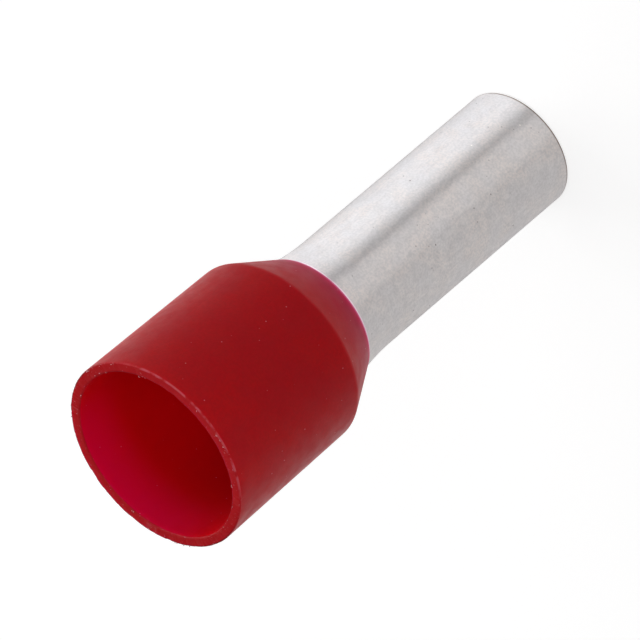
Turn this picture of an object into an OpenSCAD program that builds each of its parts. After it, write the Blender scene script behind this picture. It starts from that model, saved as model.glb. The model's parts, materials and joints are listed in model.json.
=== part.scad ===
// Insulated wire ferrule for one 10 mm2 conductor, 22 mm long.
// A moulded plastic collar grips the flared end of a tinned copper tube. The wire
// goes in at the collar's wide mouth: its insulation stops in the collar, and its
// bare strands fill the tube, which is then crimped. The ferrule stands on the
// tube's tip, with +Z along its axis up to the mouth, and the tip's centre at 0.
// Each piece is one closed profile of [radius, height] points, turned round Z.

/* [Overall] */
// Length from the tube's tip to the collar's mouth
overall_length = 22; // [18:0.1:32]

/* [Tube] */
// Outer diameter of the tube's straight part
tube_d = 5; // [4.2:0.1:5.6]
// Thickness of the tube's metal
tube_wall = 0.2; // [0.12:0.01:0.3]
// Radius of the curve that the tube flares out along
flare_radius = 11.4; // [9:0.1:20]
// Length of the flare that shows below the collar
flare_bare = 2.15; // [1:0.05:2.8]
// Length of the flare that the collar holds
flare_held = 1.35; // [0.6:0.05:1.6]
// Rounding of the outer edge at the tube's tip
tip_rounding = 0.05; // [0.01:0.01:0.08]

/* [Collar] */
// Diameter of the bore that takes the wire's insulation
bore_d = 7.25; // [6.6:0.05:9]
// Thickness of the plastic at the mouth
mouth_wall = 0.425; // [0.3:0.005:0.6]
// Thickness of the plastic at the shoulder, less because the outside has draft
shoulder_wall = 0.325; // [0.2:0.005:0.5]
// Length from the mouth down to the shoulder
sleeve_length = 7.15; // [5:0.05:9]
// Length of the cone between the shoulder and the collar's small end
cone_length = 2.2; // [1.9:0.05:4]
// Thickness of the cone's plastic
cone_wall = 0.4; // [0.3:0.01:0.5]
// Thickness of the thin lip where the small end meets the tube
lip_wall = 0.07; // [0.04:0.01:0.15]
// Rounding of the shoulder, outside
shoulder_rounding = 0.8; // [0.6:0.05:1.5]
// Rounding of both edges of the mouth
mouth_rounding = 0.06; // [0.01:0.01:0.12]

/* [Hidden] */
$fn = 96;
// Straight steps that stand for each curve of a profile
steps = 8;

// Heights above the tip
lip_z = overall_length - sleeve_length - cone_length;
shoulder_z = overall_length - sleeve_length;
straight_z = lip_z - flare_bare;

// Radii about the axis
tube_r = tube_d / 2;
tube_bore_r = tube_r - tube_wall;
bore_r = bore_d / 2;
shoulder_r = bore_r + shoulder_wall;
mouth_r = bore_r + mouth_wall;

// Turn of the flare from the tube's straight part to the collar's lip and to its own rim
lip_angle = asin(flare_bare / flare_radius);
rim_angle = asin((flare_bare + flare_held) / flare_radius);

function unit(v) = v / norm(v);
function turned(v, angle) = [
    v.x * cos(angle) - v.y * sin(angle),
    v.x * sin(angle) + v.y * cos(angle)
];

// Points of the arc that rounds the corner between two straight stretches
function rounded(before, corner, after, radius) =
    let (
        u = unit(before - corner),
        v = unit(after - corner),
        half = acos(u * v) / 2,
        centre = corner + unit(u + v) * radius / sin(half),
        start = corner + u * radius / tan(half) - centre,
        side = cross(u, v) > 0 ? -1 : 1
    )
    [for (i = [0 : steps]) centre + turned(start, side * (180 - 2 * half) * i / steps)];

// Point of the flare at a turn of the curve, a depth in from its outer surface
function flare_point(angle, depth) = [
    tube_r + flare_radius - (flare_radius + depth) * cos(angle),
    straight_z + (flare_radius + depth) * sin(angle)
];

// Points of the flare between two turns of the curve
function flare(from, to, depth) =
    [for (i = [0 : steps]) flare_point(from + (to - from) * i / steps, depth)];

function reversed(points) = [for (i = [len(points) - 1 : -1 : 0]) points[i]];

// Stretch of the tube's outer surface that the collar sits on
seat = flare(lip_angle, rim_angle, 0);

// The collar's corners, from its small end out and up to the mouth and down its bore
lip = [seat[0].x + lip_wall, lip_z];
shoulder = [shoulder_r, shoulder_z];
mouth = [mouth_r, overall_length];
bore_mouth = [bore_r, overall_length];

// The bore ends where the inside of the cone, one wall in from its outside, reaches it
cone_way = unit(shoulder - lip);
cone_run = (cone_way.y * cone_wall - shoulder_wall) / cone_way.x;
bore_end = [bore_r, shoulder_z + cone_way.x * cone_wall + cone_way.y * cone_run];

module collar() {
    color("firebrick")
    rotate_extrude()
    polygon(concat(
        [seat[0], lip],
        rounded(lip, shoulder, mouth, shoulder_rounding),
        rounded(shoulder, mouth, bore_mouth, mouth_rounding),
        rounded(mouth, bore_mouth, bore_end, mouth_rounding),
        rounded(bore_mouth, bore_end, seat[steps], shoulder_rounding - cone_wall),
        [for (i = [steps : -1 : 1]) seat[i]]
    ));
}

module tube() {
    tip_inside = [tube_bore_r, 0];
    tip_outside = [tube_r, 0];
    color("silver")
    rotate_extrude()
    polygon(concat(
        [tip_inside],
        rounded(tip_inside, tip_outside, [tube_r, straight_z], tip_rounding),
        flare(0, lip_angle, 0),
        [for (i = [1 : steps]) seat[i]],
        reversed(flare(0, rim_angle, tube_wall))
    ));
}

collar();
tube();
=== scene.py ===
"""Looks of the insulated wire ferrule: a red moulded collar on a tinned copper tube.

The ferrule stands on the tube's tip, with +Z up its axis to the collar's mouth.
Lengths are in millimetres, and become metres where a mesh, node, lamp or camera takes them.
"""
import json
import math

import bpy
import numpy as np
from mathutils import Matrix, Vector

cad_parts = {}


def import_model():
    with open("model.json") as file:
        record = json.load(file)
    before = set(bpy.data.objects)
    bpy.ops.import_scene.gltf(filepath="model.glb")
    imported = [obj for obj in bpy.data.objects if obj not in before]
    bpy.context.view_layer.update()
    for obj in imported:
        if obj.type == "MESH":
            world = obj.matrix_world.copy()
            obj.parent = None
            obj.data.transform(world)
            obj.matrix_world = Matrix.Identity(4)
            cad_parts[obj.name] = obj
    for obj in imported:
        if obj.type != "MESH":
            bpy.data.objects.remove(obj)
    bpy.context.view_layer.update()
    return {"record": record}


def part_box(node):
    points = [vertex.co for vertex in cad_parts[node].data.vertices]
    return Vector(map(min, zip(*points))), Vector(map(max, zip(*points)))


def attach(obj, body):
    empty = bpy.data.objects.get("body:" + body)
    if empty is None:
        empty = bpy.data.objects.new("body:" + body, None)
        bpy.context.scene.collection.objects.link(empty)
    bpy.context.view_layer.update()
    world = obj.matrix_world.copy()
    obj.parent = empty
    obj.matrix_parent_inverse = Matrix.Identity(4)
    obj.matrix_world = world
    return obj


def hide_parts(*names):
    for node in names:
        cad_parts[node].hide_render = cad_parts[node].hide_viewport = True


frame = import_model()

MM = 0.001
rng = np.random.default_rng(7)

# ---------------------------------------------------------------- sizes

# from the frame
MOUNTS = {mount["name"]: mount["dims"] for mount in frame["record"]["mounts"]}
COLLAR_LOW, COLLAR_HIGH = (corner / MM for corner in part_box("collar"))
FLARE_RIM_R = (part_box("tube")[1] / MM).x
MOUTH_Z = COLLAR_HIGH.z
MOUTH_R = COLLAR_HIGH.x
LIP_Z = COLLAR_LOW.z
BORE_R = MOUNTS["insulation_bore"]["r_mm"]
TUBE_R = MOUNTS["crimp_pin"]["r_mm"]
TUBE_BORE_R = MOUNTS["conductor_bore"]["r_mm"]
STRAIGHT_Z = MOUNTS["conductor_bore"]["length_mm"]
TUBE_WALL = TUBE_R - TUBE_BORE_R

# as in the solids, where no box or mount gives them
SLEEVE_LENGTH = 7.15
SHOULDER_WALL = 0.325
CONE_WALL = 0.4
LIP_WALL = 0.07
FLARE_RADIUS = 11.4
MOUTH_ROUNDING = 0.06
THROAT_ROUNDING = 0.4
TIP_ROUNDING = 0.05
SHOULDER_Z = MOUTH_Z - SLEEVE_LENGTH
SHOULDER_R = BORE_R + SHOULDER_WALL

# crisper than in the solids at the shoulder, and softer at the lip, which is sharp there
SHOULDER_ROUNDING = 0.45
LIP_ROUNDING = 0.4 * LIP_WALL

# unevenness of the mouth's cut edge, and the depth that it fades out over
RAGGED = 0.014
RAGGED_DEPTH = 0.12

# spacing of a profile's points along its straight stretches
COLLAR_STEP = 0.25
TUBE_STEP = 0.5
EDGE_STEP = 0.05


# ---------------------------------------------------------------- profiles

def unit(v):
    return v / np.hypot(*v)


def line(start, end, step):
    """Points from start to just before end, about a step apart."""
    count = max(1, round(float(np.hypot(*(end - start))) / step))
    return [start + (end - start) * i / count for i in range(count)]


def rounded(before, corner, after, radius, steps):
    """Points of the arc that rounds the corner between two straight stretches."""
    u, v = unit(before - corner), unit(after - corner)
    half = math.acos(float(np.clip(u @ v, -1, 1))) / 2
    centre = corner + unit(u + v) * radius / math.sin(half)
    start = corner + u * radius / math.tan(half) - centre
    side = -1 if u[0] * v[1] - u[1] * v[0] > 0 else 1
    turns = [side * (math.pi - 2 * half) * i / steps for i in range(steps + 1)]
    return [
        centre + np.array([
            start[0] * math.cos(turn) - start[1] * math.sin(turn),
            start[0] * math.sin(turn) + start[1] * math.cos(turn),
        ])
        for turn in turns
    ]


def flare(z_from, z_to, depth, steps):
    """Points along the tube's flare, between two heights of its outside and a depth in from it."""
    turns = [math.asin((z - STRAIGHT_Z) / FLARE_RADIUS) for z in (z_from, z_to)]
    reach = FLARE_RADIUS + depth
    return [
        np.array([
            TUBE_R + FLARE_RADIUS - reach * math.cos(turn),
            STRAIGHT_Z + reach * math.sin(turn),
        ])
        for turn in np.linspace(*turns, steps + 1)
    ]


def outer_rim_z():
    """Height of the flare's outer edge, worked out from the tube's widest radius."""
    turn = math.acos(1 - (FLARE_RIM_R - TUBE_R) / FLARE_RADIUS)
    return STRAIGHT_Z + FLARE_RADIUS * math.sin(turn)


def collar_profile():
    """The collar's closed outline, as (radius, height): out from the lip, up, and down the bore."""
    seat = flare(LIP_Z, outer_rim_z(), depth=0, steps=16)
    lip = np.array([seat[0][0] + LIP_WALL, LIP_Z])
    shoulder = np.array([SHOULDER_R, SHOULDER_Z])
    mouth = np.array([MOUTH_R, MOUTH_Z])
    bore_mouth = np.array([BORE_R, MOUTH_Z])
    # the bore ends where the inside of the cone, one wall in from its outside, reaches it
    way = unit(shoulder - lip)
    run = (way[1] * CONE_WALL - SHOULDER_WALL) / way[0]
    bore_end = np.array([BORE_R, SHOULDER_Z + way[0] * CONE_WALL + way[1] * run])
    arcs = [
        rounded(seat[0], lip, shoulder, LIP_ROUNDING, steps=4),
        rounded(lip, shoulder, mouth, SHOULDER_ROUNDING, steps=16),
        rounded(shoulder, mouth, bore_mouth, MOUTH_ROUNDING, steps=6),
        rounded(mouth, bore_mouth, bore_end, MOUTH_ROUNDING, steps=6),
        rounded(bore_mouth, bore_end, seat[-1], THROAT_ROUNDING, steps=8),
    ]
    # each arc is followed by a straight stretch, and the third one crosses the cut edge
    starts_after = [arc[0] for arc in arcs[1:]] + [seat[-1]]
    spacings = [COLLAR_STEP, COLLAR_STEP, EDGE_STEP, COLLAR_STEP, COLLAR_STEP]
    points = [seat[0]]
    for arc, following, spacing in zip(arcs, starts_after, spacings):
        points += arc
        points += line(arc[-1], following, spacing)[1:]
    return points + seat[:0:-1]


def tube_profile():
    """The tube's closed outline, as (radius, height): up its outside to the rim and back inside."""
    tip_inside = np.array([TUBE_BORE_R, 0.0])
    tip_outside = np.array([TUBE_R, 0.0])
    outer_end = np.array([TUBE_R, STRAIGHT_Z])
    inner_end = np.array([TUBE_BORE_R, STRAIGHT_Z])
    edge = rounded(tip_inside, tip_outside, outer_end, TIP_ROUNDING, steps=5)
    rim_z = outer_rim_z()
    return (
        line(tip_inside, edge[0], EDGE_STEP)
        + edge
        + line(edge[-1], outer_end, TUBE_STEP)[1:]
        + flare(STRAIGHT_Z, rim_z, depth=0, steps=24)
        + flare(STRAIGHT_Z, rim_z, depth=TUBE_WALL, steps=24)[::-1]
        + line(inner_end, tip_inside, TUBE_STEP)[1:]
    )


# ---------------------------------------------------------------- meshes

def new_object(name, points, quads):
    """A smooth mesh object, from points in metres."""
    mesh = bpy.data.meshes.new(name)
    mesh.from_pydata(np.array(points).tolist(), [], np.array(quads).tolist())
    mesh.shade_smooth()
    mesh.validate()
    piece = bpy.data.objects.new(name, mesh)
    bpy.context.scene.collection.objects.link(piece)
    return piece


def smooth(share):
    """Eases a share in and out on its way from 0 to 1."""
    share = np.clip(share, 0, 1)
    return share * share * (3 - 2 * share)


def round_noise(around, cells):
    """A closed run of smooth random values from -1 to 1, one for each angle around."""
    values = rng.uniform(-1, 1, cells)
    place = np.linspace(0, cells, around, endpoint=False)
    low = np.floor(place).astype(int)
    part = smooth(place - low)
    return (values[low] * (1 - part) + values[(low + 1) % cells] * part)[:, None]


def ragged(r, z, around):
    """Leaves the mouth's edge slightly wavy and nicked, inside and outside differently."""
    near = smooth((z - (MOUTH_Z - RAGGED_DEPTH)) / RAGGED_DEPTH)
    outward = np.clip((r - BORE_R) / (MOUTH_R - BORE_R), 0, 1)
    for share in (1 - outward, outward):
        wave = round_noise(around, cells=70)
        nick = np.clip(round_noise(around, cells=170) - 0.5, 0, 1)
        z = z - near * share * RAGGED * (1 + wave + 3 * nick)
    swell = round_noise(around, cells=90) + 0.7 * round_noise(around, cells=260)
    return r + near * (outward - 0.5) * RAGGED * swell, z


def turned(name, profile, around, shape=None):
    """A closed ring mesh: the profile turned round Z. shape may move its points first."""
    radius, height = np.array(profile).T
    angle = np.linspace(0, 2 * math.pi, around, endpoint=False)[:, None]
    r, z = np.repeat(radius[None], around, 0), np.repeat(height[None], around, 0)
    if shape:
        r, z = shape(r, z, around)
    points = np.stack([r * np.cos(angle), r * np.sin(angle), z], -1)
    count = len(profile)
    i, j = np.meshgrid(np.arange(around), np.arange(count), indexing="ij")
    next_i, next_j = (i + 1) % around, (j + 1) % count
    corners = [i * count + j, next_i * count + j, next_i * count + next_j, i * count + next_j]
    return new_object(name, points.reshape(-1, 3) * MM, np.stack(corners, -1).reshape(-1, 4))


def burr(rings):
    """Points of one burr, in rings of four: a tapered curl that starts on an edge of the mouth."""
    angle = rng.uniform(0, 2 * math.pi)
    across = rng.choice([0.12, 0.88]) + rng.uniform(-0.1, 0.1)
    length = rng.uniform(0.06, 0.15)
    along = rng.choice([-1, 1]) * rng.uniform(0.3, 1)
    curl = rng.uniform(-0.5, 0.5)
    lift = rng.uniform(0.1, 0.4)
    thick = rng.uniform(0.014, 0.026)
    up = np.array([0, 0, 1])
    radial = np.array([math.cos(angle), math.sin(angle), 0])
    tangent = np.array([-math.sin(angle), math.cos(angle), 0])
    root = radial * (BORE_R + (MOUTH_R - BORE_R) * across) + up * (MOUTH_Z - RAGGED)
    points = []
    for t in np.linspace(0, 1, rings):
        way = tangent * along * t + radial * (curl * t * t) + up * lift * math.sin(math.pi * t)
        middle = root + length * way
        wide = thick * (1 - 0.8 * t)
        points += [middle + wide * side for side in (radial, up, -radial, -up)]
    return points


def burrs(count, rings):
    """Tiny curls of plastic that the cut left along both edges of the mouth."""
    points, quads = [], []
    for _ in range(count):
        first = len(points)
        points += burr(rings)
        last = len(points) - 4
        for ring in range(first, last, 4):
            quads += [
                (ring + k, ring + (k + 1) % 4, ring + 4 + (k + 1) % 4, ring + 4 + k)
                for k in range(4)
            ]
        quads.append((first + 3, first + 2, first + 1, first))
        quads.append((last, last + 1, last + 2, last + 3))
    return new_object("rim_burrs", np.array(points) * MM, quads)


# ---------------------------------------------------------------- nodes

class Nodes:
    """The nodes of a material or of the world, and short ways to add and wire them."""

    def __init__(self, owner):
        owner.use_nodes = True
        self.owner = owner
        self.tree = owner.node_tree

    def put(self, node, inputs):
        """Wires a node's inputs to sockets, or sets them to values."""
        for key, value in inputs.items():
            if isinstance(value, bpy.types.NodeSocket):
                self.tree.links.new(value, node.inputs[key])
            else:
                node.inputs[key].default_value = value

    def add(self, kind, inputs=None, **settings):
        """A new node, with its inputs and its other settings."""
        node = self.tree.nodes.new(kind)
        for key, value in settings.items():
            setattr(node, key, value)
        self.put(node, inputs or {})
        return node

    def shade(self, inputs):
        """Gives the material's own shader its inputs, and returns the material."""
        self.put(self.tree.nodes["Principled BSDF"], inputs)
        return self.owner

    def combined(self, operation, values):
        """The values, taken one after another through a math operation."""
        result = values[0]
        for value in values[1:]:
            result = self.add("ShaderNodeMath", {0: result, 1: value}, operation=operation).outputs[0]
        return result

    def product(self, *values):
        """One or more values, multiplied."""
        return self.combined("MULTIPLY", values)

    def largest(self, *values):
        """The largest of one or more values."""
        return self.combined("MAXIMUM", values)

    def ramp(self, value, start, end, low=0.0, high=1.0):
        """Goes smoothly from low to high as the value goes from start to end."""
        inputs = {"Value": value, "From Min": start, "From Max": end, "To Min": low, "To Max": high}
        return self.add("ShaderNodeMapRange", inputs, interpolation_type="SMOOTHSTEP").outputs[0]

    def blend(self, factor, one, other):
        """One colour where the factor is 0, and the other where it is 1."""
        return self.add("ShaderNodeMix", {0: factor, 6: one, 7: other}, data_type="RGBA").outputs[2]

    def sees_background(self):
        """1 for the rays that show a plain background, and 0 for those that only carry light."""
        path = self.add("ShaderNodeLightPath").outputs
        return self.largest(path["Is Camera Ray"], path["Is Glossy Ray"], path["Is Transmission Ray"])


class Surface(Nodes):
    """The nodes of one of the ferrule's materials, which know where each point lies.

    height is above the tip, radius is from the axis, and side is how far the point is to +Y.
    colour is the base colour, which paint() adds to.
    """

    def __init__(self, name, colour):
        super().__init__(bpy.data.materials.new(name))
        self.colour = colour
        self.place = self.add("ShaderNodeTexCoord").outputs["Object"]
        parts = self.add("ShaderNodeSeparateXYZ", {0: self.place}).outputs
        self.height = parts["Z"]
        self.side = parts["Y"]
        flat = self.scaled((1, 1, 0))
        self.radius = self.add("ShaderNodeVectorMath", {0: flat}, operation="LENGTH").outputs["Value"]

    def scaled(self, factors):
        """The place, multiplied by a factor along each axis."""
        inputs = {0: self.place, 1: factors}
        return self.add("ShaderNodeVectorMath", inputs, operation="MULTIPLY").outputs[0]

    def band(self, length, start, end, low=0.0, high=1.0):
        """A ramp over a height, radius or side, between two lengths."""
        return self.ramp(length, start * MM, end * MM, low, high)

    def noise(self, grain, detail, squeeze=1.0):
        """A noise with features about a grain in size. A squeeze below 1 draws them out along Z."""
        place = self.scaled((1, 1, squeeze))
        inputs = {"Vector": place, "Scale": 1 / (grain * MM), "Detail": detail}
        return self.add("ShaderNodeTexNoise", inputs).outputs[0]

    def patches(self, grain, detail=2.0, low=0.0, high=1.0, middle=0.5, spread=0.15, squeeze=1.0):
        """Patches of a noise, from low to high. A higher middle leaves fewer, and spread blurs them."""
        noise = self.noise(grain, detail, squeeze)
        return self.ramp(noise, middle - spread, middle + spread, low, high)

    def specks(self, spacing, size, share):
        """Round specks of a size, on a share of the cells of a jittered grid."""
        inputs = {"Vector": self.place, "Scale": 1 / (spacing * MM)}
        cells = self.add("ShaderNodeTexVoronoi", inputs).outputs
        dot = self.ramp(cells["Distance"], size / spacing, 0.5 * size / spacing)
        pick = self.add("ShaderNodeSeparateColor", {0: cells["Color"]}).outputs[0]
        return self.product(dot, self.ramp(pick, 1 - share, 1 - share * 0.8))

    def bump(self, grain, detail, strength, distance, over=None):
        """The normal of a surface roughened by a noise, over that of another one if given."""
        inputs = {
            "Height": self.noise(grain, detail),
            "Strength": strength,
            "Distance": distance * MM,
        }
        if over is not None:
            inputs["Normal"] = over
        return self.add("ShaderNodeBump", inputs).outputs[0]

    def paint(self, colour, *masks):
        """Lays a colour over the surface's own, as far as every mask lets it through."""
        self.colour = self.blend(self.product(*masks), self.colour, colour)


# ---------------------------------------------------------------- plastic

PLASTIC = {
    "outside": (0.445, 0.003, 0.006, 1),
    "cloud": (0.415, 0.003, 0.0075, 1),
    "mottle": (0.345, 0.003, 0.006, 1),
    "deep bore": (0.485, 0.0005, 0.003, 1),
    "bore at the mouth": (0.57, 0.0005, 0.006, 1),
    "lit bore": (0.60, 0.0005, 0.055, 1),
    "cone": (0.425, 0.004, 0.036, 1),
    "thin lip": (0.62, 0.006, 0.065, 1),
    "lip's edge": (0.75, 0.1, 0.3, 1),
    "cut": (0.44, 0.007, 0.011, 1),
    "outer corner": (0.2, 0.008, 0.01, 1),
    "inner corner": (0.24, 0.003, 0.005, 1),
    "rubbed": (0.54, 0.085, 0.1, 1),
    "dust": (0.6, 0.2, 0.22, 1),
    "burr": (0.85, 0.5, 0.52, 1),
}

# where each colour sets in: the height, radius or side at which it starts, and is full
PAINTED_SHADE_TO_GLOW_Z = (MOUTH_Z - 3, MOUTH_Z)
LIT_BORE_Z = (MOUTH_Z - 2.6, MOUTH_Z - 0.2)
LIT_BORE_SIDE = (1, 3.6)
BORE_SKIN_R = (BORE_R + 0.08, BORE_R + 0.02)
BORE_SKIN_Z = (SHOULDER_Z, SHOULDER_Z + 0.3)
CONE_Z = (LIP_Z + 2, LIP_Z)
PAINTED_GLOW_THIN_LIP_Z = (LIP_Z + 0.55, LIP_Z + 0.05)
PAINTED_GLOW_LIP_EDGE_Z = (LIP_Z + 0.13, LIP_Z + 0.05)
CUT_Z = (MOUTH_Z - 0.1, MOUTH_Z - 0.03)
OUTER_CORNER_Z = (MOUTH_Z - 0.1, MOUTH_Z - 0.05)
OUTER_CORNER_R = (MOUTH_R - 0.08, MOUTH_R - 0.04)
OUTER_CORNER_SIDE = (-2, 1)
INNER_CORNER_Z = (MOUTH_Z - 0.14, MOUTH_Z - 0.06)
INNER_CORNER_R = (BORE_R + 0.09, BORE_R + 0.03)
INNER_CORNER_SIDE = (0, -2)
PAINTED_HIGHLIGHT_SIDE = (-2, -3.4)
BURR_Z = (MOUTH_Z - 0.005, MOUTH_Z + 0.015)
THICK_Z = (LIP_Z + 0.05, LIP_Z + 0.3)


def paint_sleeve(plastic):
    """Red with soft clouds and a fine mottle outside. The bore is painted brighter than the outside as
    a glow of light come through the wall, with painted shade deeper in and a further painted glow on
    its +Y side near the mouth.
    """
    plastic.paint(PLASTIC["cloud"], plastic.patches(grain=1.6))
    plastic.paint(PLASTIC["mottle"], plastic.patches(grain=0.11, detail=4, high=0.5))
    # painted shade deep in the bore, rising to a painted glow towards the mouth
    shade_to_glow = plastic.band(plastic.height, *PAINTED_SHADE_TO_GLOW_Z)
    bore = plastic.blend(shade_to_glow, PLASTIC["deep bore"], PLASTIC["bore at the mouth"])
    # a painted glow on the bore's +Y side near the mouth, standing for light come through the wall
    painted_glow = plastic.product(
        plastic.band(plastic.height, *LIT_BORE_Z),
        plastic.band(plastic.side, *LIT_BORE_SIDE),
    )
    bore = plastic.blend(painted_glow, bore, PLASTIC["lit bore"])
    plastic.paint(
        bore,
        plastic.band(plastic.radius, *BORE_SKIN_R),
        plastic.band(plastic.height, *BORE_SKIN_Z),
    )


def paint_cone(plastic):
    """Pinker down the cone, with a painted glow at the thin lip and a paler one at its edge, where
    light would come through.
    """
    plastic.paint(PLASTIC["cone"], plastic.band(plastic.height, *CONE_Z))
    # painted glow of light come through the thin lip, paler at its very edge
    plastic.paint(PLASTIC["thin lip"], plastic.band(plastic.height, *PAINTED_GLOW_THIN_LIP_Z))
    plastic.paint(PLASTIC["lip's edge"], plastic.band(plastic.height, *PAINTED_GLOW_LIP_EDGE_Z))


def paint_cut(plastic, cut):
    """The mouth's cut edge, with painted shade on its outer corner towards +Y and on its inner corner
    towards -Y, and a painted highlight in patches on its outer corner on the -Y side.
    """
    plastic.paint(PLASTIC["cut"], cut)
    outer_corner = plastic.product(
        plastic.band(plastic.height, *OUTER_CORNER_Z),
        plastic.band(plastic.radius, *OUTER_CORNER_R),
    )
    # painted shade on the outer corner, towards +Y
    plastic.paint(
        PLASTIC["outer corner"],
        outer_corner,
        plastic.band(plastic.side, *OUTER_CORNER_SIDE),
    )
    # painted shade on the inner corner, towards -Y
    plastic.paint(
        PLASTIC["inner corner"],
        plastic.band(plastic.height, *INNER_CORNER_Z),
        plastic.band(plastic.radius, *INNER_CORNER_R),
        plastic.band(plastic.side, *INNER_CORNER_SIDE),
    )
    # a painted highlight in patches on the outer corner, on the -Y side
    plastic.paint(
        PLASTIC["rubbed"],
        outer_corner,
        plastic.band(plastic.side, *PAINTED_HIGHLIGHT_SIDE),
        plastic.patches(grain=0.5, detail=3, spread=0.08),
    )


def paint_dust(plastic, cut):
    """Fine pale specks everywhere, and worn spots along the cut."""
    specks = plastic.product(plastic.specks(spacing=0.4, size=0.035, share=0.5), 0.7)
    worn = plastic.patches(grain=0.1, detail=3, high=0.5, middle=0.69, spread=0.05)
    plastic.paint(PLASTIC["dust"], plastic.largest(specks, plastic.product(cut, worn)))


def collar_plastic():
    """Red plastic that light scatters in, apart from its thinnest edges."""
    plastic = Surface("collar_plastic", PLASTIC["outside"])
    cut = plastic.band(plastic.height, *CUT_Z)
    raised = plastic.band(plastic.height, *BURR_Z)
    paint_sleeve(plastic)
    paint_cone(plastic)
    paint_cut(plastic, cut)
    paint_dust(plastic, cut)
    plastic.paint(PLASTIC["burr"], raised)
    scatter = plastic.product(
        plastic.band(plastic.height, *THICK_Z),
        plastic.ramp(cut, 0, 1, low=1, high=0.25),
        plastic.ramp(raised, 1, 0),
    )
    return plastic.shade({
        "Base Color": plastic.colour,
        "Roughness": plastic.patches(grain=0.5, detail=3, low=0.4, high=0.5, spread=0.2),
        "Specular IOR Level": 0.1,
        "Subsurface Weight": scatter,
        "Subsurface Radius": (1.0, 0.05, 0.75),
        "Subsurface Scale": 1.2 * MM,
        "Normal": plastic.bump(grain=0.06, detail=3, strength=0.3, distance=0.006),
    })


# ---------------------------------------------------------------- metal

METAL = {
    "tin": (0.63, 0.575, 0.555, 1),
    "blotch": (0.59, 0.565, 0.57, 1),
    "frost": (0.52, 0.50, 0.50, 1),
    "drawn": (0.72, 0.70, 0.68, 1),
    "pit": (0.16, 0.14, 0.14, 1),
    "spark": (0.9, 0.86, 0.8, 1),
    "pink of the lip": (0.98, 0.78, 0.86, 1),
    "cut copper": (0.13, 0.08, 0.055, 1),
}

# the ring of the flare's outside that carries a painted pink reflection of the lip, and the cut at the
# tip
PAINTED_LIP_REFLECTION_Z = (LIP_Z - 0.15, LIP_Z - 0.06)
PAINTED_LIP_REFLECTION_END_Z = (LIP_Z + 0.05, LIP_Z)
PAINTED_LIP_REFLECTION_R = (TUBE_R + 0.09, TUBE_R + 0.14)
TIP_CUT_Z = (0.1, 0.04)


def tinned_copper():
    """Tinned copper: drawn lengthwise, frosted, blotched and pitted, with painted glints and a painted
    pink reflection of the lip, bare at its cut edge.
    """
    metal = Surface("tinned_copper", METAL["tin"])
    metal.paint(METAL["blotch"], metal.patches(grain=1.2, detail=4))
    metal.paint(METAL["frost"], metal.patches(grain=0.09, detail=4, spread=0.14), 0.9)
    metal.paint(METAL["drawn"], metal.patches(grain=0.12, squeeze=0.03), 0.12)
    clusters = metal.patches(grain=2.5, low=0.2, high=0.85, spread=0.06)
    metal.paint(METAL["pit"], metal.specks(spacing=0.34, size=0.042, share=0.5), clusters)
    # painted glints: bright specks standing for points that catch the light
    metal.paint(METAL["spark"], metal.specks(spacing=0.6, size=0.04, share=0.3), 0.8)
    # a painted pink reflection of the lip on the flare just below it
    metal.paint(
        METAL["pink of the lip"],
        metal.band(metal.height, *PAINTED_LIP_REFLECTION_Z, high=0.8),
        metal.band(metal.height, *PAINTED_LIP_REFLECTION_END_Z),
        metal.band(metal.radius, *PAINTED_LIP_REFLECTION_R),
    )
    metal.paint(METAL["cut copper"], metal.band(metal.height, *TIP_CUT_Z))
    tangent = metal.add("ShaderNodeTangent", direction_type="RADIAL", axis="Z").outputs[0]
    frosted = metal.bump(grain=0.09, detail=3, strength=0.25, distance=0.006)
    return metal.shade({
        "Base Color": metal.colour,
        "Metallic": 1,
        "Roughness": metal.patches(grain=0.3, detail=4, low=0.38, high=0.46, spread=0.2),
        "Anisotropic": 1.0,
        "Anisotropic Rotation": 0.25,
        "Tangent": tangent,
        "Normal": metal.bump(grain=0.45, detail=3, strength=0.8, distance=0.012, over=frosted),
    })


# ---------------------------------------------------------------- pieces

def dress(piece, material):
    """Gives a piece its material and its body."""
    piece.data.materials.append(material)
    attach(piece, "root")


red = collar_plastic()
collar = turned("moulded_collar", collar_profile(), around=640, shape=ragged)
dress(collar, red)
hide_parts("collar")
dress(burrs(count=44, rings=7), red)
tube = turned("tinned_tube", tube_profile(), around=360)
dress(tube, tinned_copper())
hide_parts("tube")


# ---------------------------------------------------------------- studio

# distance of the lamps and cards from the ferrule, and the floor's width
STUDIO_RADIUS = 200
FLOOR_WIDTH = 3000


def matt(name, grey):
    """The nodes of a plain matt material."""
    nodes = Nodes(bpy.data.materials.new(name))
    nodes.shade({"Base Color": (grey, grey, grey, 1), "Roughness": 1})
    return nodes


def rectangle(name, width, height):
    """A flat piece of the stage, centred on the origin, from a size in metres."""
    corners = [
        (x * width / 2, y * height / 2, 0)
        for x, y in ((-1, -1), (1, -1), (1, 1), (-1, 1))
    ]
    piece = new_object(name, corners, [(0, 1, 2, 3)])
    return piece


def floor_white():
    """White that is seen at an even level, shadow included, and lights as a pale floor does."""
    nodes = matt("floor_white", 0.85)
    nodes.shade({"Specular IOR Level": 0})
    glow = nodes.add("ShaderNodeEmission", {"Color": (1, 1, 1, 1), "Strength": 0.72})
    paper = nodes.add("ShaderNodeBsdfDiffuse", {"Color": (0.4, 0.4, 0.4, 1)})
    shown = nodes.add("ShaderNodeAddShader", {0: glow.outputs[0], 1: paper.outputs[0]})
    mix = nodes.add("ShaderNodeMixShader", {
        0: nodes.sees_background(),
        1: nodes.tree.nodes["Principled BSDF"].outputs[0],
        2: shown.outputs[0],
    })
    nodes.put(nodes.tree.nodes["Material Output"], {0: mix.outputs[0]})
    return nodes.owner


def floor():
    """A plain white floor that keeps the ferrule's shadow."""
    piece = rectangle("floor", FLOOR_WIDTH * MM, FLOOR_WIDTH * MM)
    piece.data.materials.append(floor_white())


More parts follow.
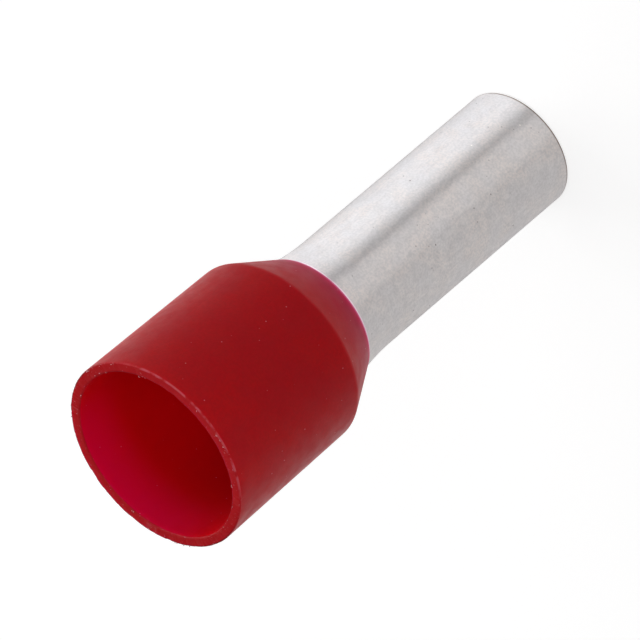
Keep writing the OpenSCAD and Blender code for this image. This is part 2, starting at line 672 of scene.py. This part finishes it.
def world(strength):
    """Even light of a strength all round, behind which the background is white."""
    bpy.context.scene.world = bpy.data.worlds.new("studio")
    nodes = Nodes(bpy.context.scene.world)
    inputs = {"Value": nodes.sees_background(), "To Min": strength, "To Max": 1}
    level = nodes.add("ShaderNodeMapRange", inputs).outputs[0]
    nodes.put(nodes.tree.nodes["Background"], {"Color": (1, 1, 1, 1), "Strength": level})


def hang(piece, azimuth, elevation):
    """Hangs a flat panel so that it faces the ferrule. Azimuth is 0 at -Y and 90 at +X."""
    a, e = math.radians(azimuth), math.radians(elevation)
    away = Vector((math.sin(a) * math.cos(e), -math.cos(a) * math.cos(e), math.sin(e)))
    piece.location = (Vector((0, 0, MOUTH_Z / 2)) + away * STUDIO_RADIUS) * MM
    piece.rotation_euler = away.to_track_quat("Z", "Y").to_euler()


def span(angle):
    """The size, in metres, of what covers an angle in degrees as seen from the ferrule."""
    return 2 * STUDIO_RADIUS * MM * math.tan(math.radians(angle / 2))


def softbox(name, azimuth, elevation, across, tall, radiance, glossy=True):
    """A soft lamp. across and tall are the angles that it covers."""
    data = bpy.data.lights.new(name, "AREA")
    data.shape = "RECTANGLE"
    data.size = span(across)
    data.size_y = span(tall)
    data.energy = radiance * math.pi * span(across) * span(tall)
    lamp = bpy.data.objects.new(name, data)
    bpy.context.scene.collection.objects.link(lamp)
    hang(lamp, azimuth, elevation)
    lamp.visible_camera = False
    lamp.visible_glossy = glossy
    return lamp


def metal_light():
    """A cool lamp that shows in reflections and lights nothing else."""
    lamp = softbox("metal_light", azimuth=92, elevation=30, across=84, tall=64, radiance=1.75)
    lamp.data.color = (0.86, 0.93, 1.0)
    lamp.visible_diffuse = False
    lamp.visible_transmission = False


def flag(name, azimuth, elevation, across, tall):
    """A black card that shows only in reflections, as a dark streak down the metal."""
    card = rectangle(name, span(across), span(tall))
    card.data.materials.append(matt(name, 0.02).owner)
    hang(card, azimuth, elevation)
    card.visible_camera = False
    card.visible_diffuse = False
    card.visible_shadow = False


# ---------------------------------------------------------------- camera

# the view's angles in degrees, then its aim, distance, lens, sensor and clipping as lengths
ELEVATION = 35.56
ROLL = -130.39
AIM = (-0.14, 0, 12.29)
DISTANCE = 338.4
LENS = 506.25
SENSOR = 36
CLIP = (10, 5000)


def camera():
    """Looks down from -Y, rolled so that the mouth is at the lower left and the tip opposite."""
    turn = (
        Matrix.Rotation(math.pi / 2 - math.radians(ELEVATION), 4, "X")
        @ Matrix.Rotation(math.radians(ROLL), 4, "Z")
    )
    place = Vector(AIM) * MM + turn.to_3x3() @ Vector((0, 0, DISTANCE * MM))
    data = bpy.data.cameras.new("camera")
    data.lens = LENS
    data.sensor_width = SENSOR
    data.clip_start, data.clip_end = (length * MM for length in CLIP)
    piece = bpy.data.objects.new("camera", data)
    piece.matrix_world = Matrix.Translation(place) @ turn
    bpy.context.scene.collection.objects.link(piece)
    bpy.context.scene.camera = piece


camera()
floor()
world(strength=0.3)
metal_light()
flag("black_flag", azimuth=31, elevation=20, across=11, tall=50)
flag("rear_flag", azimuth=180, elevation=34, across=78, tall=60)
softbox("key_light", azimuth=80, elevation=27, across=60, tall=30, radiance=1.05)
softbox("back_light", azimuth=170, elevation=14, across=60, tall=24, radiance=2.5, glossy=False)
softbox("top_light", azimuth=130, elevation=30, across=40, tall=40, radiance=1.9, glossy=False)
softbox("left_light", azimuth=-80, elevation=30, across=60, tall=30, radiance=0.4, glossy=False)
softbox("front_light", azimuth=0, elevation=32, across=40, tall=40, radiance=1.0)
bpy.context.scene.view_settings.view_transform = "Standard"
